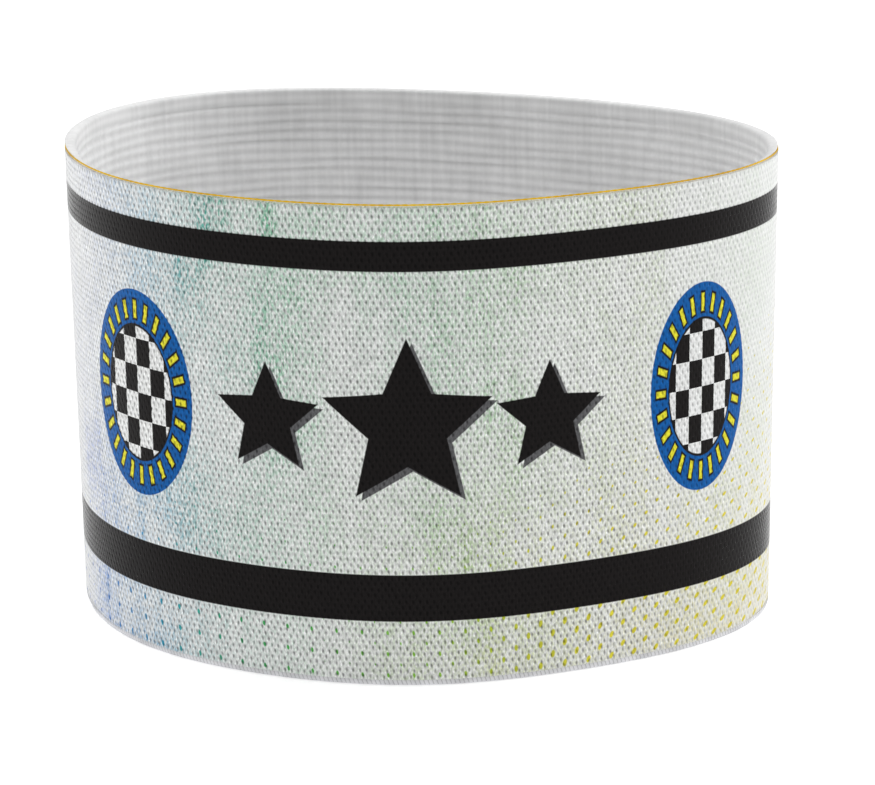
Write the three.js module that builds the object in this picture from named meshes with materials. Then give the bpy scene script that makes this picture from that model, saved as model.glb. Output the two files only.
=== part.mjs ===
// An elastic armband: one seamless knitted loop standing on its lower edge,
// ribbed inside, with a fine thread along its upper outer edge.
// Millimetres, +Z up, the wearer's front towards -Y.
import * as THREE from 'three';

// Driving dimensions
const loopLength = 322; // once round the outer face, at the upper edge
const bandHeight = 75; // from the lower edge to the upper edge
const wallThickness = 1.8; // outer face to the crest of an inner rib
const footInset = 0.75; // how far the wall has leaned inwards at its foot
const selvedgeHeight = 1.5; // plain border inside each edge, with no ribs
const edgeRound = 0.35; // the bevel that takes the sharpness off each edge
const ribPitch = 1.8; // crest to crest of the inner ribs
const ribDepth = 0.35; // crest to valley
const threadDiameter = 0.5; // the edge thread
const threadClearance = 0.3; // between the thread and the ledge it lies on
const stations = 60; // facets round the loop
const threadSides = 6; // facets round the thread

// The loop seen from above. Its radius swells and shrinks in a few waves round the turn:
// the height of a wave is a share of the mean radius, and its crest an angle from +X.
const planWaves = [
  { waves: 2, height: 0.131, crestDegrees: -15.6 }, // an oval, turned a little
  { waves: 3, height: 0.046, crestDegrees: 5.6 }, // tighter at the right end than at the left
  { waves: 4, height: 0.009, crestDegrees: -11.0 },
  { waves: 5, height: 0.013, crestDegrees: -8.1 },
];

// The plan as a closed curve with a mean radius, parallel to the XY plane
class LoopPlan extends THREE.Curve {
  constructor(meanRadius) {
    super();
    this.meanRadius = meanRadius;
  }

  getPoint(t, target = new THREE.Vector3()) {
    const angle = 2 * Math.PI * t;
    let swell = 1;
    for (const { waves, height, crestDegrees } of planWaves) {
      swell += height * Math.cos(waves * (angle - THREE.MathUtils.degToRad(crestDegrees)));
    }
    const radius = this.meanRadius * swell;
    return target.set(radius * Math.cos(angle), radius * Math.sin(angle), 0);
  }

  getOutward(t) {
    const along = this.getTangent(t);
    return new THREE.Vector3(along.y, -along.x, 0);
  }
}

const plan = new LoopPlan(loopLength / new LoopPlan(1).getLength());

// A lathe turns its profile about an axis. This moves each turned point from the circle to
// the plan: its distance from the circle's rim becomes the distance from the plan's outer face.
function bendOntoPlan(turned, rimRadius) {
  const position = turned.getAttribute('position');
  for (let i = 0; i < position.count; i += 1) {
    const across = position.getX(i);
    const ahead = position.getZ(i);
    const height = position.getY(i);
    const t = THREE.MathUtils.euclideanModulo(Math.atan2(ahead, across) / (2 * Math.PI), 1);
    const outside = Math.hypot(across, ahead) - rimRadius;
    const point = plan.getPoint(t).addScaledVector(plan.getOutward(t), outside);
    position.setXYZ(i, point.x, point.y, height);
  }
  turned.computeVertexNormals();
  return turned;
}

// Turns a closed profile of [distance outside the plan, height] pairs into a solid loop
function loopFromProfile(profile) {
  const rimRadius = plan.meanRadius;
  const points = profile.map(([outside, height]) => new THREE.Vector2(rimRadius + outside, height));
  points.push(points[0].clone());
  return bendOntoPlan(new THREE.LatheGeometry(points, stations), rimRadius);
}

// How far the wall leans inwards at a height
const lean = (height) => -footInset * (1 - height / bandHeight);

// The inner face, from the lower edge up: a border, the ribs, and a border
function innerFace() {
  const ribbedHeight = bandHeight - 2 * selvedgeHeight;
  const ribs = Math.max(1, Math.round(ribbedHeight / ribPitch));
  const pitch = ribbedHeight / ribs;
  const valley = -(wallThickness - ribDepth);
  const face = [[-wallThickness, selvedgeHeight]];
  for (let rib = 0; rib < ribs; rib += 1) {
    face.push([valley, selvedgeHeight + (rib + 0.5) * pitch]);
    face.push([-wallThickness, selvedgeHeight + (rib + 1) * pitch]);
  }
  return face;
}

// The wall's section: up the inner face, out over the upper edge to the thread's ledge,
// and down the outer face
function wallProfile() {
  const ledge = threadDiameter + threadClearance;
  const section = [
    [-wallThickness + edgeRound, 0],
    [-wallThickness, edgeRound],
    ...innerFace(),
    [-wallThickness, bandHeight - edgeRound],
    [-wallThickness + edgeRound, bandHeight],
    [-ledge, bandHeight],
    [-ledge, bandHeight - ledge],
    [0, bandHeight - ledge],
    [0, edgeRound],
    [-edgeRound, 0],
  ];
  return section.map(([outside, height]) => [outside + lean(height), height]);
}

// The thread lies in the ledge, level with the upper edge and flush with the outer face
function threadProfile() {
  const radius = threadDiameter / 2;
  const profile = [];
  for (let side = 0; side < threadSides; side += 1) {
    const angle = -(side + 0.5) * ((2 * Math.PI) / threadSides);
    profile.push([-radius + radius * Math.cos(angle), bandHeight - radius + radius * Math.sin(angle)]);
  }
  return profile;
}

const elasticBand = new THREE.Mesh(
  loopFromProfile(wallProfile()),
  new THREE.MeshStandardMaterial({ color: '#d6dcdb', roughness: 0.9, metalness: 0 }),
);
elasticBand.name = 'elastic_band';

const goldEdgeThread = new THREE.Mesh(
  loopFromProfile(threadProfile()),
  new THREE.MeshStandardMaterial({ color: '#d0a01e', roughness: 0.55, metalness: 0.2 }),
);
goldEdgeThread.name = 'gold_edge_thread';

// The plan is drawn about its own pole, so the pair moves until the band stands over the origin
const armband = new THREE.Group();
armband.add(elasticBand, goldEdgeThread);
elasticBand.geometry.computeBoundingBox();
const middle = elasticBand.geometry.boundingBox.getCenter(new THREE.Vector3());
armband.position.set(-middle.x, -middle.y, 0);

export default armband;
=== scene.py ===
# %% [markdown]
# # A knitted elastic armband, from its mesh to its light
#
# The real thing is one tube of white knitted elastic, 75 mm high and 322 mm round. Its outside
# is dye printed with a pale wash, two black bands and some motifs, its inside is plain and
# ribbed, and a gold thread is whipped along its upper outer edge. It stands on its lower edge.
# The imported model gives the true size, so every piece below is made inside that frame.

import math

import bmesh
import bpy
import numpy as np
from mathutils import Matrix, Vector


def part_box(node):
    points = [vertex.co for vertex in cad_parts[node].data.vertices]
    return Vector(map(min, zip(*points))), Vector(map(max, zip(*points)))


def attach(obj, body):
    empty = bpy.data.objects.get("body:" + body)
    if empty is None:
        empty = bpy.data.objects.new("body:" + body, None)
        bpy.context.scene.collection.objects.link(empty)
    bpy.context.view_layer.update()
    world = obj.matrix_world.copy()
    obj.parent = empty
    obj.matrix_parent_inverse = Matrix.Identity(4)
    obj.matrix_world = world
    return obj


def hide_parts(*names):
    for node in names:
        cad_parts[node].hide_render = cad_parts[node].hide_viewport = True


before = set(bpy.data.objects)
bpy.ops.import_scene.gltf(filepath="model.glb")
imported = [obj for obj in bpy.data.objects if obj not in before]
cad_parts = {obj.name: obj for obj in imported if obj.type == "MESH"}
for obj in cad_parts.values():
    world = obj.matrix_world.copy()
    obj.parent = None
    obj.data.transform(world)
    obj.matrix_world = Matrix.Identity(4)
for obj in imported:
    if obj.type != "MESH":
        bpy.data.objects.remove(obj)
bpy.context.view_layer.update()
band_low, band_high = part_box("elastic_band")
thread_low, thread_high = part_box("gold_edge_thread")
print("nodes:", sorted(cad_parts))
print("band box, mm:", [round(side * 1000, 2) for side in band_high - band_low])
print("thread box, mm:", [round(side * 1000, 2) for side in thread_high - thread_low])

# %% [markdown]
# ## The camera
#
# Matching a photograph starts with its camera, because every later comparison depends on it.
# The lens and the place were worked out from the two rims of the band: a long lens from about
# 0.6 m, 15.5 degrees above the horizon. A camera could also be aimed with a constraint, but
# three axes written into its matrix say exactly the same thing and nothing can move them.

# %% Camera
PHOTO_WIDTH = 875
FOCAL_PIXELS = 3736.2
CAMERA_PLACE = (0.00253, -0.5791, 0.1945)
CAMERA_DROP = 0.271  # radians below the horizon
CAMERA_ROLL = 0.0126  # radians, clockwise


def look(name, place, drop, roll):
    """A camera at a place, looking along +Y and down by drop, rolled clockwise."""
    right = np.array([1.0, 0.0, 0.0])
    up = np.array([0.0, math.sin(drop), math.cos(drop)])
    rolled_right = right * math.cos(roll) - up * math.sin(roll)
    rolled_up = up * math.cos(roll) + right * math.sin(roll)
    matrix = np.eye(4)
    matrix[:3, 0] = rolled_right
    matrix[:3, 1] = rolled_up
    matrix[:3, 2] = np.cross(rolled_right, rolled_up)
    matrix[:3, 3] = place
    camera = bpy.data.objects.new(name, bpy.data.cameras.new(name))
    camera.matrix_world = matrix.T
    bpy.context.scene.collection.objects.link(camera)
    return camera


camera = look("camera", CAMERA_PLACE, CAMERA_DROP, CAMERA_ROLL)
camera.data.sensor_fit = "HORIZONTAL"
camera.data.sensor_width = 36
camera.data.lens = FOCAL_PIXELS * 36 / PHOTO_WIDTH
camera.data.clip_end = 50
bpy.context.scene.camera = camera
print("lens, mm:", round(camera.data.lens, 1))

# %% [markdown]
# ## The oval that the band stands on
#
# Limp elastic doesn't stand as a true circle: it settles to a soft oval, here a little tighter
# at its right end. Such a plan could be drawn as a curve by hand. A circle with a few slow
# waves on its radius has no corners at all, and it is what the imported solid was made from, so
# both agree to a hair. Places on the cloth are given as a distance round the loop from the
# middle of the front, positive to the right, and a height.

# %% The oval
MM = 0.001
LOOP = 322 * MM
HEIGHT = 75 * MM
FOOT_INSET = 0.75 * MM  # the foot stands this much inside the rim
PLAN_WAVES = (  # waves, height, place of a crest in degrees
    (2, 0.131, -15.6),  # an oval, turned a little
    (3, 0.046, 5.6),  # tighter at the right end than at the left
    (4, 0.009, -11.0),
    (5, 0.013, -8.1),
)

turn = np.linspace(-2.5 * math.pi, 1.5 * math.pi, 28801)
radius = 1 + sum(h * np.cos(n * (turn - math.radians(crest))) for n, h, crest in PLAN_WAVES)
plan = np.stack([radius * np.cos(turn), radius * np.sin(turn)])
plan *= (band_high.x - band_low.x) / np.ptp(plan[0])
plan_centre = (plan.max(axis=1) + plan.min(axis=1)) / 2
band_centre = np.array([band_low.x + band_high.x, band_low.y + band_high.y]) / 2
plan += (band_centre - plan_centre)[:, None]
step = np.hypot(*np.gradient(plan, axis=1))
travelled = np.concatenate([[0], np.cumsum(np.hypot(*np.diff(plan, axis=1)))])
travelled -= np.interp(-math.pi / 2, turn, travelled)
plan_outward = np.stack([np.gradient(plan[1]), -np.gradient(plan[0])]) / step
loop_measured = np.interp(1.5 * math.pi, turn, travelled) - np.interp(-0.5 * math.pi, turn, travelled)
print("loop, mm:", round(loop_measured * 1000, 2), "depth, mm:", round(np.ptp(plan[1]) * 1000, 2))


def on_oval(around, outside):
    """Points on the oval, around it from the front and outside it, both in metres."""
    around = around * (loop_measured / LOOP)
    x, y = (np.interp(around, travelled, line) for line in plan)
    across, along = (np.interp(around, travelled, line) for line in plan_outward)
    return x + across * outside, y + along * outside


# %% [markdown]
# ## A section, spun and laid on the oval
#
# Every piece of the band is a closed outline carried round the loop. Bmesh's spin does that for
# a true circle, so each piece starts as a round ring of the real length. Then one function
# lays the ring on the oval, with a say for each piece in how its surface rises and falls on the
# way: that is where stitches, ribs and twists come from. Real relief holds up from every side
# and at grazing angles, where a bump map alone looks flat.
#
# The ring carries two UV maps. "cloth" is in metres round and up, so a print or a weave can be
# placed by ruler. "OFBake" folds the long strip into four short ones, to fill a square.

# %% Section and ring
RING = LOOP / (2 * math.pi)


def spin_section(name, corners, cuts, columns, fine=1):
    """A ring mesh. corners are (outside, up) in mm, cuts the rows on each side of the section.

    The ring has columns times fine faces round it. Spin slows down with the square of its
    steps, so it makes the coarse columns and subdivide_edges cuts each into fine ones.
    """
    bm = bmesh.new()
    row_layer = bm.verts.layers.float.new("row")
    outside_layer = bm.verts.layers.float.new("outside")
    side_layer = bm.edges.layers.int.new("rows")
    section = []
    row = 0
    for (outside, up), rows in zip(corners, cuts):
        vert = bm.verts.new((0.0, RING + outside * MM, up * MM))
        vert[row_layer] = row
        vert[outside_layer] = outside * MM
        section.append(vert)
        row += rows
    for index, rows in enumerate(cuts):
        side = bm.edges.new((section[index], section[(index + 1) % len(section)]))
        side[side_layer] = rows
    for rows in sorted(set(cuts) - {1}):
        sides = [side for side in bm.edges if side[side_layer] == rows]
        bmesh.ops.subdivide_edges(bm, edges=sides, cuts=rows - 1)
    bmesh.ops.spin(
        bm, geom=bm.verts[:] + bm.edges[:], cent=(0, 0, 0), axis=(0, 0, 1),
        angle=2 * math.pi, steps=columns, use_merge=True, use_duplicate=False,
    )
    if fine > 1:
        hoops = [e for e in bm.edges if e.verts[0][row_layer] == e.verts[1][row_layer]]
        bmesh.ops.subdivide_edges(bm, edges=hoops, cuts=fine - 1, use_grid_fill=True)
    bmesh.ops.recalc_face_normals(bm, faces=bm.faces)
    mesh = bpy.data.meshes.new(name)
    bm.to_mesh(mesh)
    bm.free()
    return mesh


def lay_on_oval(mesh, rows, columns, relief):
    """Bends a ring on the oval. relief changes (around, outside, up, row), all but row in metres."""
    place = np.empty(len(mesh.vertices) * 3)
    mesh.vertices.foreach_get("co", place)
    x, y, up = place.reshape(-1, 3).T
    row, outside = np.empty((2, len(mesh.vertices)))
    mesh.attributes["row"].data.foreach_get("value", row)
    mesh.attributes["outside"].data.foreach_get("value", outside)
    column = np.round(np.arctan2(x, -y) / (2 * math.pi) * columns)
    around = column * LOOP / columns
    outside, up = relief(around, outside, up, row)
    outside = outside - FOOT_INSET * (1 - up / HEIGHT)
    x, y = on_oval(around, outside)
    mesh.vertices.foreach_set("co", np.stack([x, y, up], axis=1).ravel())
    for name in ("row", "outside", "rows"):
        mesh.attributes.remove(mesh.attributes[name])

    corner = np.empty(len(mesh.loops), int)
    mesh.loops.foreach_get("vertex_index", corner)
    corner = corner.reshape(-1, 4)
    along = close_seam(around[corner], LOOP)
    share = close_seam(row[corner], rows) / rows
    write_uv(mesh, "cloth", along, up[corner])
    quarter = np.clip(np.floor((along.mean(axis=1) / LOOP + 0.5) * 4), 0, 3)[:, None]
    across = (along / LOOP + 0.5) * 4 - quarter
    write_uv(
        mesh, "OFBake",
        0.5 * (quarter % 2 + 0.01 + 0.98 * across),
        0.5 * (quarter // 2 + 0.01 + 0.98 * share),
    )
    mesh.shade_smooth()


def close_seam(values, whole):
    """Where a face spans the join of the ring, its low corners go on past the high ones."""
    spans = np.ptp(values, axis=1, keepdims=True) > whole / 2
    return np.where(spans & (values < values.mean(axis=1, keepdims=True)), values + whole, values)


def write_uv(mesh, name, across, along):
    """A UV map from two arrays of four corners a face."""
    layer = mesh.uv_layers.new(name=name)
    layer.uv.foreach_set("vector", np.stack([across, along], axis=-1).astype(np.float32).ravel())


def show(mesh):
    """The object of a finished mesh, at the origin."""
    piece = bpy.data.objects.new(mesh.name, mesh)
    bpy.context.scene.collection.objects.link(piece)
    sides = np.ptp(np.array([v.co for v in mesh.vertices]), axis=0) * 1000
    triangles = sum(len(face.vertices) - 2 for face in mesh.polygons)
    print(mesh.name, "mm:", sides.round(2), "triangles:", triangles)
    return piece


# %% [markdown]
# ## An edge that changes on its way round
#
# In front, the rim leans inwards and stays hidden behind the gold thread. At the ends and at
# the back the wall stands square, and the thread lies tucked under the rim's outer brim. One
# share, nought in front and one behind, steers both.

# %% Front to back
def backness(around):
    """Nought along the front of the loop, one along its ends and back, smooth between."""
    share = np.clip((np.abs(around) - 62 * MM) / (22 * MM), 0, 1)
    return share * share * (3 - 2 * share)


# %% [markdown]
# ## The knitted face
#
# Under a lens, the outside is rows of short upright stitches with a small pit at each crossing,
# each row shifted by half a stitch from the next. The stitches are 1.06 mm apart and the rows
# 0.93 mm. It could be a plain sheet with a weave texture. Here each pit is a real hollow in the
# mesh: two columns and two rows of faces a stitch, which stays under 200,000 triangles, and the
# material draws what is finer. Each pit has its own depth, as knitting is never even.

# %% Knitted face
STITCHES = 304
STITCH = LOOP / STITCHES
STITCH_ROWS = 79
KNIT_FOOT = 0.95 * MM
ROW = 0.93 * MM
PIT_DEPTH = 0.13 * MM
THREAD_DROP = 0.45 * MM
CALM_PLACES = (34, 62, 85, 110)  # where the knit begins and ends to lie smoother, mm round
knit_top = KNIT_FOOT + STITCH_ROWS * ROW
pit_chance = np.random.default_rng(11)
pit_unevenness = pit_chance.uniform(0.75, 1.1, (STITCH_ROWS + 2, STITCHES + 2))


def calmness(around):
    """One on the tight bend at the right end, where the knit lies smoother, else nought."""
    rise = np.clip((around - CALM_PLACES[0] * MM) / ((CALM_PLACES[1] - CALM_PLACES[0]) * MM), 0, 1)
    fall = np.clip((CALM_PLACES[3] * MM - around) / ((CALM_PLACES[3] - CALM_PLACES[2]) * MM), 0, 1)
    return rise * fall


def knit_relief(around, outside, up, row):
    """Pits at the crossings of the stitches, on the outer rows of the face only."""
    across = around / STITCH
    course = (up - KNIT_FOOT) / ROW
    pit = np.cos(2 * math.pi * across) * np.sin(math.pi * course)
    uneven = pit_unevenness[
        np.clip(course.astype(int), 0, STITCH_ROWS), (across + STITCHES / 2).astype(int) % STITCHES
    ]
    outer = (row > 0) & (row < 2 * STITCH_ROWS)
    hollow = PIT_DEPTH * uneven * np.clip(-pit, 0, 1) + 0.2 * PIT_DEPTH * (1 - np.abs(pit))
    hollow = hollow * (1 - 0.5 * calmness(around))
    near_top = np.clip((knit_top - up) / (1.5 * ROW), 0, 1)
    shoulder = 0.12 * MM * (1 - near_top) ** 2
    lower = THREAD_DROP * backness(around) * np.clip((up - 72 * MM) / (2.4 * MM), 0, 1)
    return np.where(outer, outside - hollow * near_top - shoulder, outside), up - lower


face_corners = (
    (0.0, KNIT_FOOT / MM),
    (0.0, knit_top / MM),
    (-0.55, knit_top / MM + 0.12),
    (-0.95, knit_top / MM - 0.2),
    (-0.95, KNIT_FOOT / MM + 0.2),
)
face_cuts = (2 * STITCH_ROWS, 2, 1, 1, 1)
face_mesh = spin_section("armband_knit_face", face_corners, face_cuts, STITCHES // 2, fine=4)
lay_on_oval(face_mesh, sum(face_cuts), 2 * STITCHES, knit_relief)
knit_face = show(face_mesh)

# %% [markdown]
# ## The ribbed inside and its rolled rim
#
# The inside shows the rubber cores of the elastic: soft ridges that run all the way round,
# 1.64 mm apart, crossed by faint upright lines of yarn. At the top the same layer rolls over and
# ends behind the gold thread, so rim and inside are one piece. One section with forty-three ribs,
# spun round, gives them at once. The ribs are shallow: their tone comes from a slow curve and
# from painted shade between them.

# %% Ribbed inside
RIBS = 43
RIB = 1.64 * MM
RIB_ROWS = 5
RIB_DEPTH = 0.30 * MM
RIM_LEAN = 0.62 * MM
RIM_BRIM = 0.42 * MM
RIBS_FOOT = 2.2 * MM
SLOW_DRIFT = (0.1, 5, 1.3)  # how far, waves round the loop, where they start
QUICK_DRIFT = (0.06, 11)
ribs_top = RIBS_FOOT + RIBS * RIB


def rib_relief(around, outside, up, row):
    """Ribs on the inner rows, each a little uneven on its way round."""
    inner = (row > 0) & (row < RIB_ROWS * RIBS)
    angle = around / RING
    far, waves, start = SLOW_DRIFT
    quick_far, quick_waves = QUICK_DRIFT
    drift = far * np.sin(waves * angle + start)
    drift = drift + quick_far * np.sin(quick_waves * angle + up / RIB)
    wave = 0.5 - 0.5 * np.cos(2 * math.pi * ((up - RIBS_FOOT) / RIB + drift))
    uneven = 1 + 0.25 * np.sin(3 * angle + 2 * np.floor((up - RIBS_FOOT) / RIB))
    behind = backness(around)
    rim = np.clip((up - 73.2 * MM) / (1.5 * MM), 0, 1)
    lean = RIM_LEAN * (1 - behind) * rim * np.clip((-0.5 * MM - outside) / (1.2 * MM), 0, 1)
    lower = (0.22 * MM * (1 - behind)) * np.clip((up - 74 * MM) / (0.8 * MM), 0, 1)
    brim = (up > 74.6 * MM) & (outside > -0.7 * MM)
    outside = outside + RIM_BRIM * behind * brim
    return np.where(inner, outside + RIB_DEPTH * (1 - wave) * uneven, outside), up - lean - lower


inside_corners = (
    (-1.8, RIBS_FOOT / MM), (-1.8, ribs_top / MM), (-1.79, 74.1), (-1.76, 74.55), (-1.6, 74.82),
    (-1.25, 74.93), (-0.65, 74.93), (-0.45, 74.8), (-0.5, 74.2), (-1.0, 73.8),
    (-1.0, 1.2), (-1.6, 1.2),
)
inside_cuts = (RIB_ROWS * RIBS,) + (1,) * (len(inside_corners) - 1)
inside_mesh = spin_section("armband_ribbed_inside", inside_corners, inside_cuts, 152, fine=2)
lay_on_oval(inside_mesh, sum(inside_cuts), 304, rib_relief)
ribbed_inside = show(inside_mesh)

# %% [markdown]
# ## The whipped lower edge
#
# A knitted tube would run at its end, so the foot is closed with yarn whipped over the edge. It
# shows as a narrow cord of fine ridges, 0.69 mm apart. It could be hundreds of small loops of
# yarn. A ring whose wall rises and falls once a ridge gives the same light with few faces.

# %% Whipped lower edge
RIDGES = 470
RIDGE_DEPTH = 0.14 * MM
RIDGE_LEAN = 0.35


def whipped_relief(around, outside, up, row):
    """Ridges that lean a little, on both sides of the wall."""
    ridge = np.abs(np.sin(math.pi * RIDGES * (around + up * RIDGE_LEAN) / LOOP))
    side = np.clip((outside + 0.9 * MM) / (0.9 * MM), -1, 1)
    return outside - RIDGE_DEPTH * (1 - ridge) * side, up


lower_corners = (
    (-0.02, 1.0), (0.0, 0.5), (-0.12, 0.12), (-0.5, 0.0), (-1.3, 0.0),
    (-1.7, 0.15), (-1.8, 0.6), (-1.7, 1.5), (-0.5, 1.5),
)
lower_cuts = (1,) * len(lower_corners)
lower_mesh = spin_section("armband_lower_edge", lower_corners, lower_cuts, 235, fine=6)
lay_on_oval(lower_mesh, sum(lower_cuts), 1410, whipped_relief)
lower_edge = show(lower_mesh)

# %% [markdown]
# ## The gold thread
#
# Two fine strands twisted together run along the upper outer edge. A twisted thread could be two
# helices. At a quarter of a millimetre across, one tube with two lobes that turn as they go round
# reads the same and closes on itself without a knot, because the twists are a whole number.

# %% Gold thread
TWISTS = 268
THREAD_RADIUS = 0.12 * MM
THREAD_SIDES = 10
thread_height = 74.78 * MM
thread_outside = -0.16 * MM


def twist_relief(around, outside, up, row):
    """Two lobes that turn round the thread's middle."""
    angle = np.arctan2(up - thread_height, outside - thread_outside)
    lobes = np.cos(2 * angle - 2 * math.pi * TWISTS * around / LOOP)
    reach = THREAD_RADIUS * (1 + 0.18 * lobes)
    height = thread_height - THREAD_DROP * backness(around)
    return thread_outside + reach * np.cos(angle), height + reach * np.sin(angle)


thread_corners = [
    (
        (thread_outside + THREAD_RADIUS * math.cos(side * 2 * math.pi / THREAD_SIDES)) / MM,
        (thread_height + THREAD_RADIUS * math.sin(side * 2 * math.pi / THREAD_SIDES)) / MM,
    )
    for side in range(THREAD_SIDES)
]
thread_cuts = (1,) * THREAD_SIDES
thread_mesh = spin_section("armband_gold_thread", thread_corners, thread_cuts, 201, fine=8)
lay_on_oval(thread_mesh, sum(thread_cuts), 1608, twist_relief)
gold_thread = show(thread_mesh)

# %% [markdown]
# ## Colour and nodes
#
# Colours are written as sRGB hex, the way a dye chart gives them, and turned linear once. One
# function adds any node: its values fill the sockets that are in use, in order, and a node
# given as a value is linked by its first output in use.

# %% Colour and node helpers
def dye(code):
    """An sRGB hex colour as a linear one."""
    parts = [int(code[i:i + 2], 16) / 255 for i in (1, 3, 5)]
    return [p / 12.92 if p <= 0.04045 else ((p + 0.055) / 1.055) ** 2.4 for p in parts] + [1.0]


def add(tree, kind, *values, sockets=None, **settings):
    """Adds a node with its settings, its values in order and its sockets by name."""
    node = tree.nodes.new("ShaderNode" + kind)
    for setting, value in settings.items():
        setattr(node, setting, value)
    used = [socket for socket in node.inputs if socket.enabled]
    pairs = list(zip(used, values)) + [(node.inputs[n], v) for n, v in (sockets or {}).items()]
    for socket, value in pairs:
        if isinstance(value, bpy.types.Node):
            value = next(output for output in value.outputs if output.enabled)
        if isinstance(value, bpy.types.NodeSocket):
            tree.links.new(value, socket)
        elif value is not None:
            socket.default_value = value
    return node


def new_material(name):
    """An empty node material."""
    material = bpy.data.materials.new(name)
    material.use_nodes = True
    material.node_tree.nodes.clear()
    return material, material.node_tree


def round_share(mm):
    """A distance round the cloth as a place on a ramp that spans 200 mm."""
    return mm / 200 + 0.5


def ramp(tree, share, stops, place=round_share):
    """Adds a colour ramp of (place, hex, alpha) stops; alpha may be left out."""
    node = add(tree, "ValToRGB", share)
    elements = node.color_ramp.elements
    while len(elements) > 1:
        elements.remove(elements[0])
    for index, (where, code, *alpha) in enumerate(stops):
        element = elements[0] if index == 0 else elements.new(place(where))
        element.position = place(where)
        element.color = dye(code)[:3] + (alpha or [1.0])
    return node


# %% [markdown]
# ## The stitches, as a pattern
#
# The mesh gives each pit its hollow. The pattern below lays a small soft painted shadow in the
# same place, all but upright, and a painted highlight on the strand of yarn below it and to its
# left, where the real knit catches the light. It also gives each stitch its own tone. A picture
# of knit could be tiled instead, but it would repeat. As a node group, the pit is the same one
# for colour, gloss and bump.

# %% Stitch pattern
PIT_HALF_SIZE = (0.25, 0.52)  # as shares of a stitch and of a row
STRAND_PLACE = (-0.29, -0.28)  # from the middle of the pit, in the same shares
STRAND_HALF_SIZE = (0.18, 0.34)


def stitch_pattern():
    """A node group: cloth place in mm to the pit, the strand beside it and a chance value; the pit
    also drives a painted shade and the strand a painted highlight.
    """
    tree = bpy.data.node_groups.new("stitch_pattern", "ShaderNodeTree")
    tree.interface.new_socket("Around", in_out="INPUT", socket_type="NodeSocketFloat")
    tree.interface.new_socket("Up", in_out="INPUT", socket_type="NodeSocketFloat")
    for name in ("Pit", "StrandAndPaintedHighlight", "Chance"):
        tree.interface.new_socket(name, in_out="OUTPUT", socket_type="NodeSocketFloat")
    start = tree.nodes.new("NodeGroupInput")
    end = tree.nodes.new("NodeGroupOutput")

    lifted = add(tree, "Math", start.outputs["Up"], -KNIT_FOOT / MM, operation="ADD")
    course = add(tree, "Math", lifted, MM / ROW, operation="MULTIPLY")
    row = add(tree, "Math", course, operation="FLOOR")
    above = add(tree, "Math", add(tree, "Math", course, operation="FRACT"), -0.5, operation="ADD")
    odd = add(tree, "Math", add(tree, "Math", row, 0.5, operation="MULTIPLY"), operation="FRACT")
    across = add(tree, "Math", start.outputs["Around"], MM / STITCH, odd, operation="MULTIPLY_ADD")
    slant = add(tree, "Math", odd, -0.04, 0.11, operation="MULTIPLY_ADD")
    leaning = add(tree, "Math", above, slant, operation="MULTIPLY")
    slanted = add(tree, "Math", leaning, across, operation="ADD")
    column = add(tree, "Math", slanted, operation="FLOOR")
    beside = add(tree, "Math", add(tree, "Math", slanted, operation="FRACT"), -0.5, operation="ADD")

    cell = add(tree, "CombineXYZ", column, row, 0.0)
    chance = add(tree, "TexWhiteNoise", cell, noise_dimensions="3D")
    moved = add(tree, "SeparateColor", chance.outputs["Color"])
    shift = add(tree, "MapRange", moved.outputs[0], 0.0, 1.0, -0.04, 0.04)
    lift = add(tree, "MapRange", moved.outputs[1], 0.0, 1.0, -0.08, 0.08)
    near = add(tree, "Math", beside, shift, operation="ADD")
    level = add(tree, "Math", above, lift, operation="ADD")
    wide = add(tree, "Math", near, 1 / PIT_HALF_SIZE[0], operation="MULTIPLY")
    tall = add(tree, "Math", level, 1 / PIT_HALF_SIZE[1], operation="MULTIPLY")
    away = add(tree, "VectorMath", add(tree, "CombineXYZ", wide, tall, 0.0), operation="LENGTH")
    pit = add(tree, "MapRange", away.outputs["Value"], 1.1, 0.15, 0.0, 1.0,
              interpolation_type="SMOOTHSTEP")
    uneven = add(tree, "MapRange", chance.outputs["Value"], 0.0, 1.0, 0.65, 1.0)
    tree.links.new(add(tree, "Math", pit, uneven, operation="MULTIPLY").outputs[0],
                   end.inputs["Pit"])
    # The strand: a painted highlight in the colour, and a raised height in the bump.
    wide = add(tree, "Math", add(tree, "Math", near, -STRAND_PLACE[0], operation="ADD"),
               1 / STRAND_HALF_SIZE[0], operation="MULTIPLY")
    tall = add(tree, "Math", add(tree, "Math", level, -STRAND_PLACE[1], operation="ADD"),
               1 / STRAND_HALF_SIZE[1], operation="MULTIPLY")
    away = add(tree, "VectorMath", add(tree, "CombineXYZ", wide, tall, 0.0), operation="LENGTH")
    strand_and_painted_highlight = add(tree, "MapRange", away.outputs["Value"], 1.15, 0.3, 0.0, 1.0,
                 interpolation_type="SMOOTHSTEP")
    bright = add(tree, "MapRange", moved.outputs[1], 0.0, 1.0, 0.4, 1.0)
    tree.links.new(add(tree, "Math", strand_and_painted_highlight, bright, operation="MULTIPLY").outputs[0],
                   end.inputs["StrandAndPaintedHighlight"])
    tree.links.new(moved.outputs[2], end.inputs["Chance"])
    return tree


stitches = stitch_pattern()
print("stitch pattern nodes:", len(stitches.nodes))

# %% [markdown]
# ## The motifs
#
# In the middle of the front stand three bold stars with a hard grey shadow, plain shapes of the
# weight and width that the middle of such a band carries. A star could be cut from a curve and
# laid on the cloth. As ink has no thickness, it is drawn in the material instead: fold the
# plane into one tenth of the star, and its edge is a single straight line.

# %% Five-pointed star
STARS_MIDDLE = 0.5  # mm round from the front
SIDE_STARS_AWAY = 22.0  # mm round from the middle one
BIG_STAR = (41.0, 13.6)  # height of its middle and its radius, mm
SIDE_STAR = (41.3, 8.8)
SHADOW_SHIFT = (0.8, -0.7)  # mm, across and up
SHADOW_INK = "#626264"
INK_BLUR = 0.07  # mm, on each side of an inked edge


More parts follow.
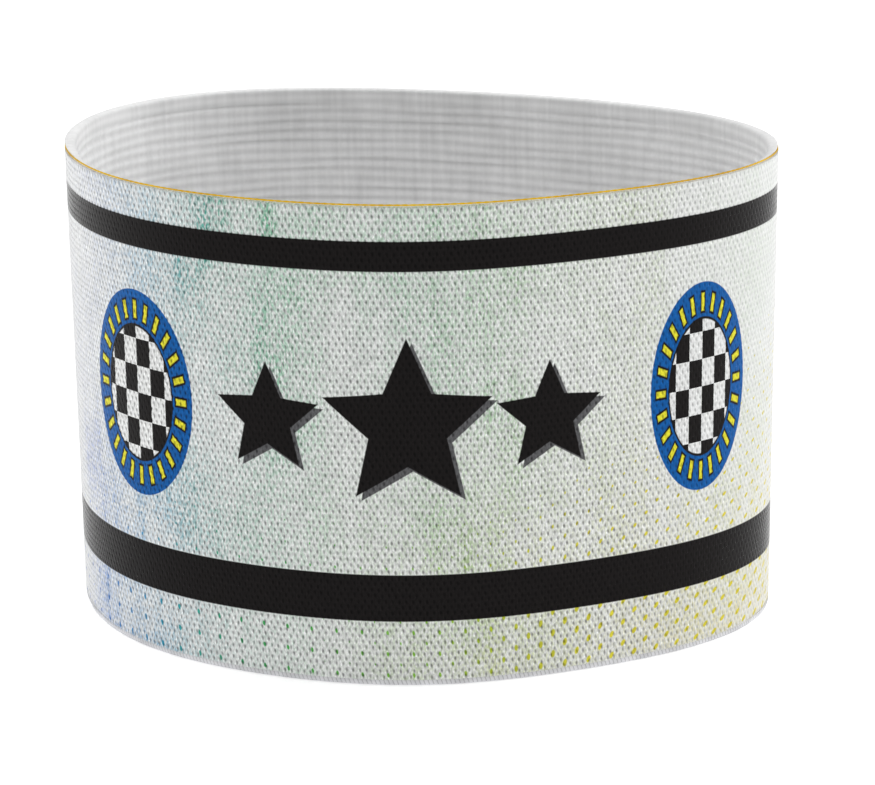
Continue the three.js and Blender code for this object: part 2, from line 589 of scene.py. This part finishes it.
def star_pattern():
    """A node group: place from a star's middle and its size in mm to the distance outside it."""
    tree = bpy.data.node_groups.new("star_pattern", "ShaderNodeTree")
    for name in ("Across", "Up", "Radius"):
        tree.interface.new_socket(name, in_out="INPUT", socket_type="NodeSocketFloat")
    tree.interface.new_socket("Outside", in_out="OUTPUT", socket_type="NodeSocketFloat")
    start = tree.nodes.new("NodeGroupInput")
    end = tree.nodes.new("NodeGroupOutput")
    tenth = math.pi / 5
    waist = 0.46  # the inner corners, as a share of the radius
    edge_x, edge_y = waist * math.sin(tenth), 1 - waist * math.cos(tenth)
    edge = math.hypot(edge_x, edge_y)

    angle = add(tree, "Math", start.outputs["Across"], start.outputs["Up"], operation="ARCTAN2")
    folded = add(tree, "Math", angle, tenth, -tenth, operation="WRAP")
    flat = add(tree, "CombineXYZ", start.outputs["Across"], start.outputs["Up"], 0.0)
    away = add(tree, "VectorMath", flat, operation="LENGTH").outputs["Value"]
    turned = add(tree, "Math", folded, operation="ABSOLUTE")
    along = add(tree, "Math", away, add(tree, "Math", turned, operation="COSINE"),
                operation="MULTIPLY")
    aside = add(tree, "Math", away, add(tree, "Math", turned, operation="SINE"),
                operation="MULTIPLY")
    past = add(tree, "Math", along, start.outputs["Radius"], operation="SUBTRACT")
    slope = add(tree, "Math", past, edge_x / edge, operation="MULTIPLY")
    outside = add(tree, "Math", aside, edge_y / edge, slope, operation="MULTIPLY_ADD")
    tree.links.new(outside.outputs[0], end.inputs["Outside"])
    return tree


stars = star_pattern()
print("star pattern nodes:", len(stars.nodes))

# %% [markdown]
# ## The roundels
#
# Left and right of the stars is a blue disc, taller than wide because the cloth was printed
# relaxed and photographed round a curve. It has a ring of yellow marks edged with black, and a
# white middle with a plain chequer. Both discs are the same group on a unit circle, so only
# their place and their two sizes differ.

# %% Roundel
BLUE_INK = "#1160AC"
YELLOW_INK = "#EFE83A"
BLACK_INK = "#181515"
ROUNDEL_MARKS = 24
ROUNDELS = (  # middle round and up, half width, half height, mm
    (-46.55, 41.6, 11.76, 16.34),
    (49.5, 42.1, 9.85, 16.5),
)


def roundel_pattern():
    """A node group: place on a unit disc to its ink colour and how much of it there is."""
    tree = bpy.data.node_groups.new("roundel_pattern", "ShaderNodeTree")
    for name in ("Across", "Up"):
        tree.interface.new_socket(name, in_out="INPUT", socket_type="NodeSocketFloat")
    tree.interface.new_socket("Paper", in_out="INPUT", socket_type="NodeSocketColor")
    tree.interface.new_socket("Ink", in_out="OUTPUT", socket_type="NodeSocketColor")
    tree.interface.new_socket("Cover", in_out="OUTPUT", socket_type="NodeSocketFloat")
    start = tree.nodes.new("NodeGroupInput")
    end = tree.nodes.new("NodeGroupOutput")

    flat = add(tree, "CombineXYZ", start.outputs["Across"], start.outputs["Up"], 0.0)
    away = add(tree, "VectorMath", flat, operation="LENGTH").outputs["Value"]
    angle = add(tree, "Math", start.outputs["Across"], start.outputs["Up"], operation="ARCTAN2")
    mark_turn = 2 * math.pi / ROUNDEL_MARKS
    folded = add(tree, "Math", angle, mark_turn / 2, -mark_turn / 2, operation="WRAP")
    aside = add(tree, "Math", add(tree, "Math", folded, operation="ABSOLUTE"), away,
                operation="MULTIPLY")
    beyond = add(tree, "Math", add(tree, "Math", away, -0.81, operation="ADD"),
                 operation="ABSOLUTE")
    side = add(tree, "Math", aside, -0.030, operation="ADD")
    top = add(tree, "Math", beyond, -0.085, operation="ADD")
    outside_mark = add(tree, "Math", side, top, operation="MAXIMUM")
    black_edge = add(tree, "MapRange", outside_mark, 0.030, 0.018, 0.0, 1.0)
    yellow = add(tree, "MapRange", outside_mark, 0.006, -0.006, 0.0, 1.0)

    chequer = add(tree, "TexChecker", flat, [0, 0, 0, 1], [1, 1, 1, 1], 1 / 0.264)
    middle = add(tree, "Mix", chequer.outputs["Fac"], start.outputs["Paper"], dye(BLACK_INK),
                 data_type="RGBA")
    blue = add(tree, "Mix", black_edge, dye(BLUE_INK), dye(BLACK_INK), data_type="RGBA")
    ring = add(tree, "Mix", yellow, blue, dye(YELLOW_INK), data_type="RGBA")
    black_ring = add(tree, "MapRange", away, 0.675, 0.665, 0.0, 1.0)
    disc = add(tree, "MapRange", away, 0.650, 0.640, 0.0, 1.0)
    ringed = add(tree, "Mix", black_ring, ring, dye(BLACK_INK), data_type="RGBA")
    inked = add(tree, "Mix", disc, ringed, middle, data_type="RGBA")
    cover = add(tree, "MapRange", away, 1.004, 0.996, 0.0, 1.0)
    tree.links.new(inked.outputs[2], end.inputs["Ink"])
    tree.links.new(cover.outputs[0], end.inputs["Cover"])
    return tree


roundel = roundel_pattern()
print("roundel nodes:", len(roundel.nodes))

# %% [markdown]
# ## Polyester elastic, knitted and dye printed
#
# White polyester takes dye well and stays matt: the eye sees yarn first and print second. The
# wash changes from lavender and blue at the left through green to yellow at the right, in
# upright streaks. Over it come marks of stronger ink, the motifs and the two black bands. Every
# pit is darkened with painted shade, whatever is printed on it.

# %% Printed elastic
WHITE_YARN = "#F2F3F2"
BANDS = ((10.3, 17.7), (64.7, 69.3))  # foot and top of the black bands, mm
WASH_UPPER = (  # mm round from the front, dye, how much of it there is
    (-98, "#B8C0DC", 0.03), (-80, "#A0A8E0", 0.02), (-70, "#8E9BE0", 0.06), (-60, "#8DA0DC", 0.09),
    (-52, "#7FA9D8", 0.12), (-44, "#62B4D6", 0.19), (-36, "#4FB0B0", 0.17),
    (-28, "#52B39A", 0.13), (-20, "#5CBF90", 0.17), (-10, "#78C890", 0.12),
    (0, "#7CCB92", 0.13), (12, "#8CCB8A", 0.18), (24, "#9CCB80", 0.10), (38, "#AFCB6E", 0.10),
    (48, "#B4CF90", 0.05), (60, "#A8D088", 0.06), (72, "#B8D8A0", 0.04), (98, "#D0DCC0", 0.03),
)
WASH_LOWER = (
    (-98, "#B0BCE0", 0.03), (-84, "#8FA6E4", 0.02), (-68, "#7C9CE4", 0.06),
    (-60, "#6C9EE4", 0.24), (-50, "#5AA4DE", 0.29), (-42, "#4FADD4", 0.24), (-34, "#55B9C0", 0.13),
    (-26, "#60BFA0", 0.12), (-16, "#80C890", 0.09), (-6, "#A2CC6C", 0.12),
    (6, "#BCD468", 0.15), (16, "#D0D864", 0.12), (26, "#D4D870", 0.10), (40, "#E0D468", 0.12),
    (52, "#E8D860", 0.17), (64, "#ECD85C", 0.18), (76, "#ECD868", 0.10), (98, "#E4DCA0", 0.03),
)
WASH_POOLS = (  # mm round, mm up, half width, half height, extra dye
    (-30.8, 71, 3.0, 6, 0.38), (-20.5, 72, 1.6, 6, 0.13), (-35, 62, 4, 5, 0.08),
    (-58, 9, 9, 8, 0.05), (-62, 27, 8, 7, 0.16), (-19, 50, 5, 12, 0.07),
    (12.5, 5, 2.0, 7, 0.10), (8, 24, 3, 9, 0.10),
)
MARK_COLOURS = (
    (-66, "#2468CC"), (-56, "#0072C0"), (-46, "#0090C0"), (-36, "#00A094"), (-26, "#0CA054"),
    (-14, "#3EAE30"), (4, "#88C424"), (18, "#C8CC28"), (32, "#E4DA2A"), (60, "#E6D828"),
    (78, "#E8D630"),
)
DROP_GRID = (2.0, 3.4)  # mm round, mm up
DROP_HALF_WIDTHS = (  # mm round, mm
    (-98, 0.0), (-76, 0.20), (-50, 0.28), (-20, 0.22), (6, 0.22), (24, 0.34), (38, 0.38),
    (56, 0.48), (74, 0.58), (98, 0.0),
)


def printed_elastic():
    """The material of the knitted face."""
    material, tree = new_material("polyester_elastic_knitted_and_dye_printed")
    cloth = add(tree, "UVMap", uv_map="cloth")
    place = add(tree, "SeparateXYZ", cloth)
    around = add(tree, "Math", place.outputs[0], 1 / MM, operation="MULTIPLY")
    up = add(tree, "Math", place.outputs[1], 1 / MM, operation="MULTIPLY")
    solid = add(tree, "TexCoord").outputs["Object"]
    knit = add(tree, "Group", node_tree=stitches)
    tree.links.new(around.outputs[0], knit.inputs["Around"])
    tree.links.new(up.outputs[0], knit.inputs["Up"])

    # The wash: soft pools of dye, and flecks of it a third of a millimetre wide that follow
    # the upright yarn. Both are noise in object space, so they meet at the back of the loop.
    streak_place = add(tree, "Mapping", solid, sockets={"Scale": (1, 1, 0.22)})
    streak = add(tree, "TexNoise", streak_place,
                 sockets={"Scale": 260.0, "Detail": 3.0, "Roughness": 0.6})
    pool = add(tree, "TexNoise", solid, sockets={"Scale": 60.0, "Detail": 2.0})
    fleck_place = add(tree, "Mapping", solid, sockets={"Scale": (1, 1, 0.4)})
    fleck = add(tree, "TexNoise", fleck_place, sockets={"Scale": 3300.0, "Detail": 1.0})
    share = add(tree, "Math", around, 1 / 200, 0.5, operation="MULTIPLY_ADD")
    upper = ramp(tree, share, WASH_UPPER)
    lower = ramp(tree, share, WASH_LOWER)
    wobble = add(tree, "Math", pool.outputs[0], 40.0, up, operation="MULTIPLY_ADD")
    low_share = add(tree, "MapRange", wobble, 68.0, 24.0, 0.0, 1.0)
    ink = add(tree, "Mix", low_share, upper.outputs[0], lower.outputs[0], data_type="RGBA")
    amount = add(tree, "Mix", low_share, upper.outputs[1], lower.outputs[1])
    for middle_around, middle_up, wide, tall, extra in WASH_POOLS:
        aside = add(tree, "Math", around, 1 / wide, -middle_around / wide,
                    operation="MULTIPLY_ADD")
        above = add(tree, "Math", up, 1 / tall, -middle_up / tall, operation="MULTIPLY_ADD")
        apart = add(tree, "VectorMath", add(tree, "CombineXYZ", aside, above, 0.0),
                    operation="LENGTH").outputs["Value"]
        soft = add(tree, "MapRange", apart, 1.6, 0.0, 0.0, extra,
                   interpolation_type="SMOOTHSTEP")
        amount = add(tree, "Math", amount, soft, operation="ADD")
    both = add(tree, "Math", streak.outputs[0], pool.outputs[0], operation="ADD")
    uneven = add(tree, "MapRange", both, 0.78, 1.22, 0.45, 1.55)
    flecked = add(tree, "MapRange", fleck.outputs[0], 0.38, 0.66, 0.3, 2.5)
    patchy = add(tree, "Math", uneven, flecked, operation="MULTIPLY")
    strength = add(tree, "Math", amount, patchy, operation="MULTIPLY", use_clamp=True)
    wash = add(tree, "Mix", strength, [1, 1, 1, 1], ink.outputs[2], data_type="RGBA")
    washed = add(tree, "Mix", 1.0, dye(WHITE_YARN), wash, data_type="RGBA", blend_type="MULTIPLY")

    # Marks: a plain grid of drops, each column half a step above the last. At the left every
    # second column is missing. Their size and tilt follow the way round, and above the lower
    # black band they fade out with height.
    wide, tall = DROP_GRID
    columns = add(tree, "Math", around, 1 / wide, operation="MULTIPLY")
    column = add(tree, "Math", columns, operation="FLOOR")
    rise = add(tree, "Math", column, tall / 2, up, operation="MULTIPLY_ADD")
    odd = add(tree, "Math", column, 2.0, operation="FLOORED_MODULO")
    aside = add(tree, "Math", add(tree, "Math", columns, operation="FRACT"), -0.5,
                operation="ADD")
    aside = add(tree, "Math", aside, wide, operation="MULTIPLY")
    above = add(tree, "Math", rise, 1 / tall, operation="MULTIPLY")
    above = add(tree, "Math", add(tree, "Math", above, operation="FRACT"), -0.5, operation="ADD")
    above = add(tree, "Math", above, tall, operation="MULTIPLY")
    tilt = add(tree, "MapRange", around, 10.0, 60.0, 0.12, -0.8)
    aside = add(tree, "Math", above, tilt, aside, operation="MULTIPLY_ADD")
    slim = add(tree, "MapRange", around, -20.0, 25.0, 0.27, 0.55)
    round_one = add(tree, "MapRange", around, 25.0, 60.0, 0.55, 1.1)
    squash = add(tree, "Math", slim, round_one, operation="MAXIMUM")
    drop = add(tree, "CombineXYZ", aside, add(tree, "Math", above, squash, operation="MULTIPLY"),
               0.0)
    from_drop = add(tree, "VectorMath", drop, operation="LENGTH").outputs["Value"]
    half_width = add(tree, "FloatCurve", 1.0, share)
    half_width.mapping.extend = "HORIZONTAL"
    curve = half_width.mapping.curves[0]
    first_stop, *between, last_stop = DROP_HALF_WIDTHS
    curve.points[0].location = (round_share(first_stop[0]), first_stop[1])
    curve.points[1].location = (round_share(last_stop[0]), last_stop[1])
    for where, half in between:
        curve.points.new(round_share(where), half)
    half_width.mapping.update()
    last = add(tree, "MapRange", around, 15.0, 80.0, 27.0, 54.0)
    fade = add(tree, "MapRange", up, 10.0, last, 1.0, 0.30)
    reach = add(tree, "Math", half_width, fade, operation="MULTIPLY")
    missing = add(tree, "MapRange", around, -25.0, 12.0, 1.0, 0.0)
    kept = add(tree, "Math", add(tree, "Math", missing, odd, operation="MULTIPLY"), -1.0, 1.0,
               operation="MULTIPLY_ADD")
    reach = add(tree, "Math", reach, kept, operation="MULTIPLY")
    outside_drop = add(tree, "Math", from_drop, reach, operation="SUBTRACT")
    solid_drop = add(tree, "MapRange", outside_drop, 0.05, -0.06, 0.0, 0.95)
    shown = add(tree, "Math", up, last, operation="LESS_THAN")
    shown = add(tree, "Math", shown, add(tree, "Math", reach, 0.06, operation="GREATER_THAN"),
                operation="MULTIPLY")
    drops = add(tree, "Math", solid_drop, shown, operation="MULTIPLY")
    mark_colour = ramp(tree, share, MARK_COLOURS)
    marked = add(tree, "Mix", drops, washed, mark_colour, data_type="RGBA")

    # The roundels.
    inked = marked
    for middle_around, middle_up, wide, tall in ROUNDELS:
        across = add(tree, "Math", around, 1 / wide, -middle_around / wide,
                     operation="MULTIPLY_ADD")
        above = add(tree, "Math", up, 1 / tall, -middle_up / tall, operation="MULTIPLY_ADD")
        disc = add(tree, "Group", node_tree=roundel)
        tree.links.new(across.outputs[0], disc.inputs["Across"])
        tree.links.new(above.outputs[0], disc.inputs["Up"])
        disc.inputs["Paper"].default_value = dye(WHITE_YARN)
        inked = add(tree, "Mix", disc.outputs["Cover"], inked, disc.outputs["Ink"],
                    data_type="RGBA")

    # The stars: the two side ones are one star, mirrored.
    for shift, colour in ((SHADOW_SHIFT, SHADOW_INK), ((0.0, 0.0), BLACK_INK)):
        x = add(tree, "Math", around, -STARS_MIDDLE - shift[0], operation="ADD")
        z = add(tree, "Math", up, -shift[1], operation="ADD")
        nearest = None
        aside = add(tree, "Math", add(tree, "Math", x, operation="ABSOLUTE"), -SIDE_STARS_AWAY,
                    operation="ADD")
        for across, (height, radius) in ((x, BIG_STAR), (aside, SIDE_STAR)):
            above = add(tree, "Math", z, -height, operation="ADD")
            star = add(tree, "Group", node_tree=stars)
            tree.links.new(across.outputs[0], star.inputs["Across"])
            tree.links.new(above.outputs[0], star.inputs["Up"])
            star.inputs["Radius"].default_value = radius
            nearest = star if nearest is None else add(
                tree, "Math", nearest, star, operation="MINIMUM")
        cover = add(tree, "MapRange", nearest, INK_BLUR, -INK_BLUR, 0.0, 1.0)
        inked = add(tree, "Mix", cover, inked, dye(colour), data_type="RGBA")

    # The black bands, all the way round.
    for foot, top in BANDS:
        off = add(tree, "Math", add(tree, "Math", up, -(foot + top) / 2, operation="ADD"),
                  operation="ABSOLUTE")
        half = (top - foot) / 2
        cover = add(tree, "MapRange", off, half + INK_BLUR, half - INK_BLUR, 0.0, 1.0)
        inked = add(tree, "Mix", cover, inked, dye(BLACK_INK), data_type="RGBA")

    # Yarn: painted shade darkens each pit, a painted highlight brightens the strand beside each,
    # and each stitch and each fibre has its own tone. The painted pit shade is lighter towards the
    # ends of the oval, and round the tight bend at the right the painted shade, the painted
    # highlight and the tone are evened out towards one grey.
    fibre_place = add(tree, "Mapping", solid, sockets={"Scale": (1, 1, 0.45)})
    fibre = add(tree, "TexNoise", fibre_place, sockets={"Scale": 4400.0, "Detail": 1.0})
    stretched = add(tree, "Math", around, operation="ABSOLUTE")
    # Painted shade: each pit's colour is darkened, to 0.30 of the yarn along the front and 0.50
    # towards the ends.
    painted_pit_shade_level = add(tree, "MapRange", stretched, 38.0, 64.0, 0.30, 0.50)
    painted_pit_shade = add(tree, "MapRange", knit.outputs["Pit"], 0.0, 1.0, 1.0, painted_pit_shade_level)
    # Painted highlight: the strand beside each pit is brightened, up to 1.17 times the yarn.
    strand_and_painted_highlight = add(tree, "MapRange", knit.outputs["StrandAndPaintedHighlight"], 0.0, 1.0, 0.92, 1.17)
    tone = add(tree, "MapRange", knit.outputs["Chance"], 0.0, 1.0, 0.94, 1.04)
    grain = add(tree, "MapRange", fibre.outputs[0], 0.32, 0.68, 0.80, 1.14)
    shade = add(tree, "Math", painted_pit_shade, tone, operation="MULTIPLY")
    shade = add(tree, "Math", shade, strand_and_painted_highlight, operation="MULTIPLY")
    shade = add(tree, "Math", shade, grain, operation="MULTIPLY")
    # Round the bend at the right, the painted pit shade and painted highlight, with the stitch tone
    # and fibre grain, are evened out towards one grey.
    painted_shade_and_grain_flattening = add(tree, "MapRange", around, CALM_PLACES[0], CALM_PLACES[1], 0.0, 0.55)
    fall = add(tree, "MapRange", around, CALM_PLACES[2], CALM_PLACES[3], 1.0, 0.0)
    painted_shade_and_grain_flattening = add(tree, "Math", painted_shade_and_grain_flattening, fall, operation="MULTIPLY")
    shade = add(tree, "Mix", painted_shade_and_grain_flattening, shade, 0.78)
    yarn_with_painted_light = add(tree, "VectorMath", inked.outputs[2], sockets={"Scale": shade}, operation="SCALE")

    raised = add(tree, "Math", fibre.outputs[0], 0.5,
                 add(tree, "Math", knit.outputs["StrandAndPaintedHighlight"], 0.5, operation="MULTIPLY"),
                 operation="MULTIPLY_ADD")
    height = add(tree, "Math", knit.outputs["Pit"], -1.0, raised, operation="MULTIPLY_ADD")
    bump = add(tree, "Bump", sockets={"Strength": 0.6, "Distance": 0.06 * MM, "Height": height})
    rough = add(tree, "MapRange", knit.outputs["Pit"], 0.0, 1.0, 0.3, 0.5)
    cloth_shader = add(tree, "BsdfPrincipled", sockets={
        "Base Color": yarn_with_painted_light, "Roughness": rough, "IOR": 1.15, "Normal": bump,
        "Sheen Weight": 1.0, "Sheen Roughness": 0.22,
    })
    add(tree, "OutputMaterial", cloth_shader)
    return material


knit_face.data.materials.append(printed_elastic())

# %% [markdown]
# ## Polyester elastic, plain knitted
#
# The inside is the same yarn without any dye: a cool grey-white with faint upright lines.
# Painted shade makes it darker between the ribs, and darker towards the right than the left.

# %% Ribbed inside material
def plain_elastic():
    """The material of the ribbed inside."""
    material, tree = new_material("polyester_elastic_knitted_plain")
    place = add(tree, "SeparateXYZ", add(tree, "UVMap", uv_map="cloth"))
    solid = add(tree, "TexCoord").outputs["Object"]
    turn = add(tree, "Math", place.outputs[0], 2 * math.pi / STITCH, operation="MULTIPLY")
    yarn_line = add(tree, "Math", turn, operation="COSINE")
    line_place = add(tree, "Mapping", solid, sockets={"Scale": (1, 1, 0.12)})
    lines = add(tree, "TexNoise", line_place, sockets={"Scale": 900.0, "Detail": 3.0})
    patch = add(tree, "TexNoise", solid, sockets={"Scale": 120.0, "Detail": 3.0})
    mixed = add(tree, "Math", lines.outputs[0], patch.outputs[0], operation="ADD")
    tone = add(tree, "MapRange", mixed, 0.7, 1.3, 0.91, 1.07)
    lined = add(tree, "Math", yarn_line, 0.008, tone, operation="MULTIPLY_ADD")
    far, waves, start = SLOW_DRIFT
    quick_far, quick_waves = QUICK_DRIFT
    slow = add(tree, "Math", place.outputs[0], waves / RING, start, operation="MULTIPLY_ADD")
    rising = add(tree, "Math", place.outputs[1], 1 / RIB, operation="MULTIPLY")
    quick = add(tree, "Math", place.outputs[0], quick_waves / RING, rising,
                operation="MULTIPLY_ADD")
    drift = add(tree, "Math", add(tree, "Math", slow, operation="SINE"), far,
                add(tree, "Math", rising, -RIBS_FOOT / RIB, operation="ADD"),
                operation="MULTIPLY_ADD")
    drift = add(tree, "Math", add(tree, "Math", quick, operation="SINE"), quick_far, drift,
                operation="MULTIPLY_ADD")
    turn = add(tree, "Math", drift, 2 * math.pi, operation="MULTIPLY")
    # Painted shade: the cloth is darker between the ribs and lighter on their crests.
    crest = add(tree, "MapRange", add(tree, "Math", turn, operation="COSINE"), -1.0, 1.0,
                1.045, 0.915)
    lined = add(tree, "Math", lined, crest, operation="MULTIPLY")
    across = add(tree, "SeparateXYZ", solid)
    # Painted shade: darker towards the right of the inside, lighter towards the left.
    painted_side_shade = add(tree, "MapRange", across, -0.05, 0.05, 1.02, 0.94)
    lined = add(tree, "Math", lined, painted_side_shade, operation="MULTIPLY")
    yarn_with_painted_light = add(tree, "VectorMath", dye("#EDEDED")[:3], sockets={"Scale": lined},
               operation="SCALE")
    bump = add(tree, "Bump", sockets={"Strength": 0.4, "Distance": 0.1 * MM,
                                      "Height": lines.outputs[0]})
    shader = add(tree, "BsdfPrincipled", sockets={
        "Base Color": yarn_with_painted_light, "Roughness": 0.9, "Specular IOR Level": 0.2,
        "Sheen Weight": 0.2, "Sheen Roughness": 0.4, "Normal": bump,
    })
    add(tree, "OutputMaterial", shader)
    return material


ribbed_inside.data.materials.append(plain_elastic())

# %% [markdown]
# ## Polyester yarn, whipped
#
# The lower edge is sewn over with undyed yarn. The ridges are in the mesh, so the material only
# needs the grain of the yarn and a little grey of painted shade in its valleys.

# %% Whipped edge material
def whipped_yarn():
    """The material of the lower edge."""
    material, tree = new_material("polyester_yarn_whipped")
    place = add(tree, "SeparateXYZ", add(tree, "UVMap", uv_map="cloth"))
    solid = add(tree, "TexCoord").outputs["Object"]
    leaning = add(tree, "Math", place.outputs[1], RIDGE_LEAN, place.outputs[0],
                  operation="MULTIPLY_ADD")
    turn = add(tree, "Math", leaning, math.pi * RIDGES / LOOP, operation="MULTIPLY")
    ridge = add(tree, "Math", add(tree, "Math", turn, operation="SINE"), operation="ABSOLUTE")
    grain = add(tree, "TexNoise", solid, sockets={"Scale": 1500.0, "Detail": 2.0})
    patch = add(tree, "TexNoise", solid, sockets={"Scale": 300.0, "Detail": 2.0})
    # Painted shade: the yarn is greyer in the valleys between the ridges.
    painted_valley_shade = add(tree, "MapRange", ridge, 0.0, 0.6, 0.62, 1.0)
    tone = add(tree, "MapRange", patch.outputs[0], 0.35, 0.65, 0.82, 1.04)
    shade = add(tree, "Math", painted_valley_shade, tone, operation="MULTIPLY")
    yarn_with_painted_light = add(tree, "VectorMath", dye("#E6E6E9")[:3], sockets={"Scale": shade},
               operation="SCALE")
    bump = add(tree, "Bump", sockets={"Strength": 0.5, "Distance": 0.06 * MM,
                                      "Height": grain.outputs[0]})
    shader = add(tree, "BsdfPrincipled", sockets={
        "Base Color": yarn_with_painted_light, "Roughness": 0.85, "Specular IOR Level": 0.25,
        "Sheen Weight": 0.2, "Sheen Roughness": 0.4, "Normal": bump,
    })
    add(tree, "OutputMaterial", shader)
    return material


lower_edge.data.materials.append(whipped_yarn())

# %% [markdown]
# ## Viscose thread, twisted
#
# Viscose is the shiny one among embroidery threads. Its gold is a deep yellow dye, brighter where
# a strand faces the light and brown where the two strands meet.

# %% Gold thread material
def gold_viscose():
    """The material of the gold thread."""
    material, tree = new_material("viscose_thread_twisted")
    solid = add(tree, "TexCoord").outputs["Object"]
    worn = add(tree, "TexNoise", solid, sockets={"Scale": 90.0, "Detail": 3.0})
    tone = ramp(tree, worn.outputs[0], [(0.3, "#C09400"), (0.5, "#DAAE00"), (0.7, "#EAC400")],
                place=float)
    grain = add(tree, "TexNoise", solid, sockets={"Scale": 4000.0, "Detail": 1.0})
    bump = add(tree, "Bump", sockets={"Strength": 0.3, "Distance": 0.03 * MM,
                                      "Height": grain.outputs[0]})
    shader = add(tree, "BsdfPrincipled", sockets={
        "Base Color": tone, "Roughness": 0.45, "Specular IOR Level": 0.15, "Normal": bump,
    })
    add(tree, "OutputMaterial", shader)
    return material


gold_thread.data.materials.append(gold_viscose())

# %% [markdown]
# ## Pieces and bodies
#
# The band is one body, so every piece rides on "root". The cloth pieces stand for the packed
# band, and the thread for the imported thread.

# %% Ride on root
for piece in (knit_face, ribbed_inside, lower_edge):
    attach(piece, "root")
    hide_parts("elastic_band")
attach(gold_thread, "root")
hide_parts("gold_edge_thread")

# %% [markdown]
# ## Floor and light
#
# A product on white needs light from both sides and above, so that its ends melt into the
# background and its middle keeps some grey. Two softboxes stand at the sides, a little behind
# the band, and a very large one hangs overhead. The floor is a big pale disc that glows faintly
# like a light table, which lifts the foot of the band and leaves only a thin shadow.

# %% Floor
FLOOR_GLOW = 0.35


def studio_floor():
    """A pale disc under the band."""
    bm = bmesh.new()
    bmesh.ops.create_circle(bm, cap_ends=True, segments=96, radius=4.0)
    mesh = bpy.data.meshes.new("studio_floor")
    bm.to_mesh(mesh)
    bm.free()
    material, tree = new_material("seamless_paper_rolled")
    grain = add(tree, "TexNoise", add(tree, "TexCoord").outputs["Object"],
                sockets={"Scale": 400.0, "Detail": 2.0})
    tone = ramp(tree, grain.outputs[0], [(0.3, "#F7F7F7"), (0.7, "#F9F9F9")], place=float)
    shader = add(tree, "BsdfPrincipled", sockets={
        "Base Color": tone, "Roughness": 1.0, "Specular IOR Level": 0.0,
        "Emission Color": dye("#FFFFFF"), "Emission Strength": FLOOR_GLOW,
    })
    add(tree, "OutputMaterial", shader)
    mesh.materials.append(material)
    floor = show(mesh)
    return floor


floor = studio_floor()

# %% Lights
def softbox(name, place, aim, size, power):
    """A square lamp at a place, turned to face a point."""
    lamp = bpy.data.lights.new(name, "AREA")
    lamp.shape = "SQUARE"
    lamp.size = size
    lamp.energy = power
    box = bpy.data.objects.new(name, lamp)
    bpy.context.scene.collection.objects.link(box)
    away = np.array(place) - np.array(aim)
    away = away / np.linalg.norm(away)
    side = np.cross([0.0, 1.0, 0.0], away)
    side = side / np.linalg.norm(side)
    matrix = np.eye(4)
    matrix[:3, 0] = side
    matrix[:3, 1] = np.cross(away, side)
    matrix[:3, 2] = away
    matrix[:3, 3] = place
    box.matrix_world = matrix.T
    return box


middle = (0.0, 0.0, 0.04)
softbox("softbox_left", (-1.02, 0.25, 0.45), middle, 0.8, 4.1)
softbox("softbox_right", (1.04, 0.15, 0.5), middle, 0.8, 6.4)
softbox("softbox_top", (0.0, 0.2, 3.0), middle, 3.0, 48.5)

world = bpy.data.worlds.new("white_studio")
world.use_nodes = True
world.node_tree.nodes.clear()
seen = add(world.node_tree, "LightPath").outputs["Is Camera Ray"]
strength = add(world.node_tree, "MapRange", seen, 0.0, 1.0, 0.325, 1.0)
sky = add(world.node_tree, "Background", [1, 1, 1, 1], strength)
add(world.node_tree, "OutputWorld", sky)
bpy.context.scene.world = world
bpy.context.scene.view_settings.view_transform = "Standard"
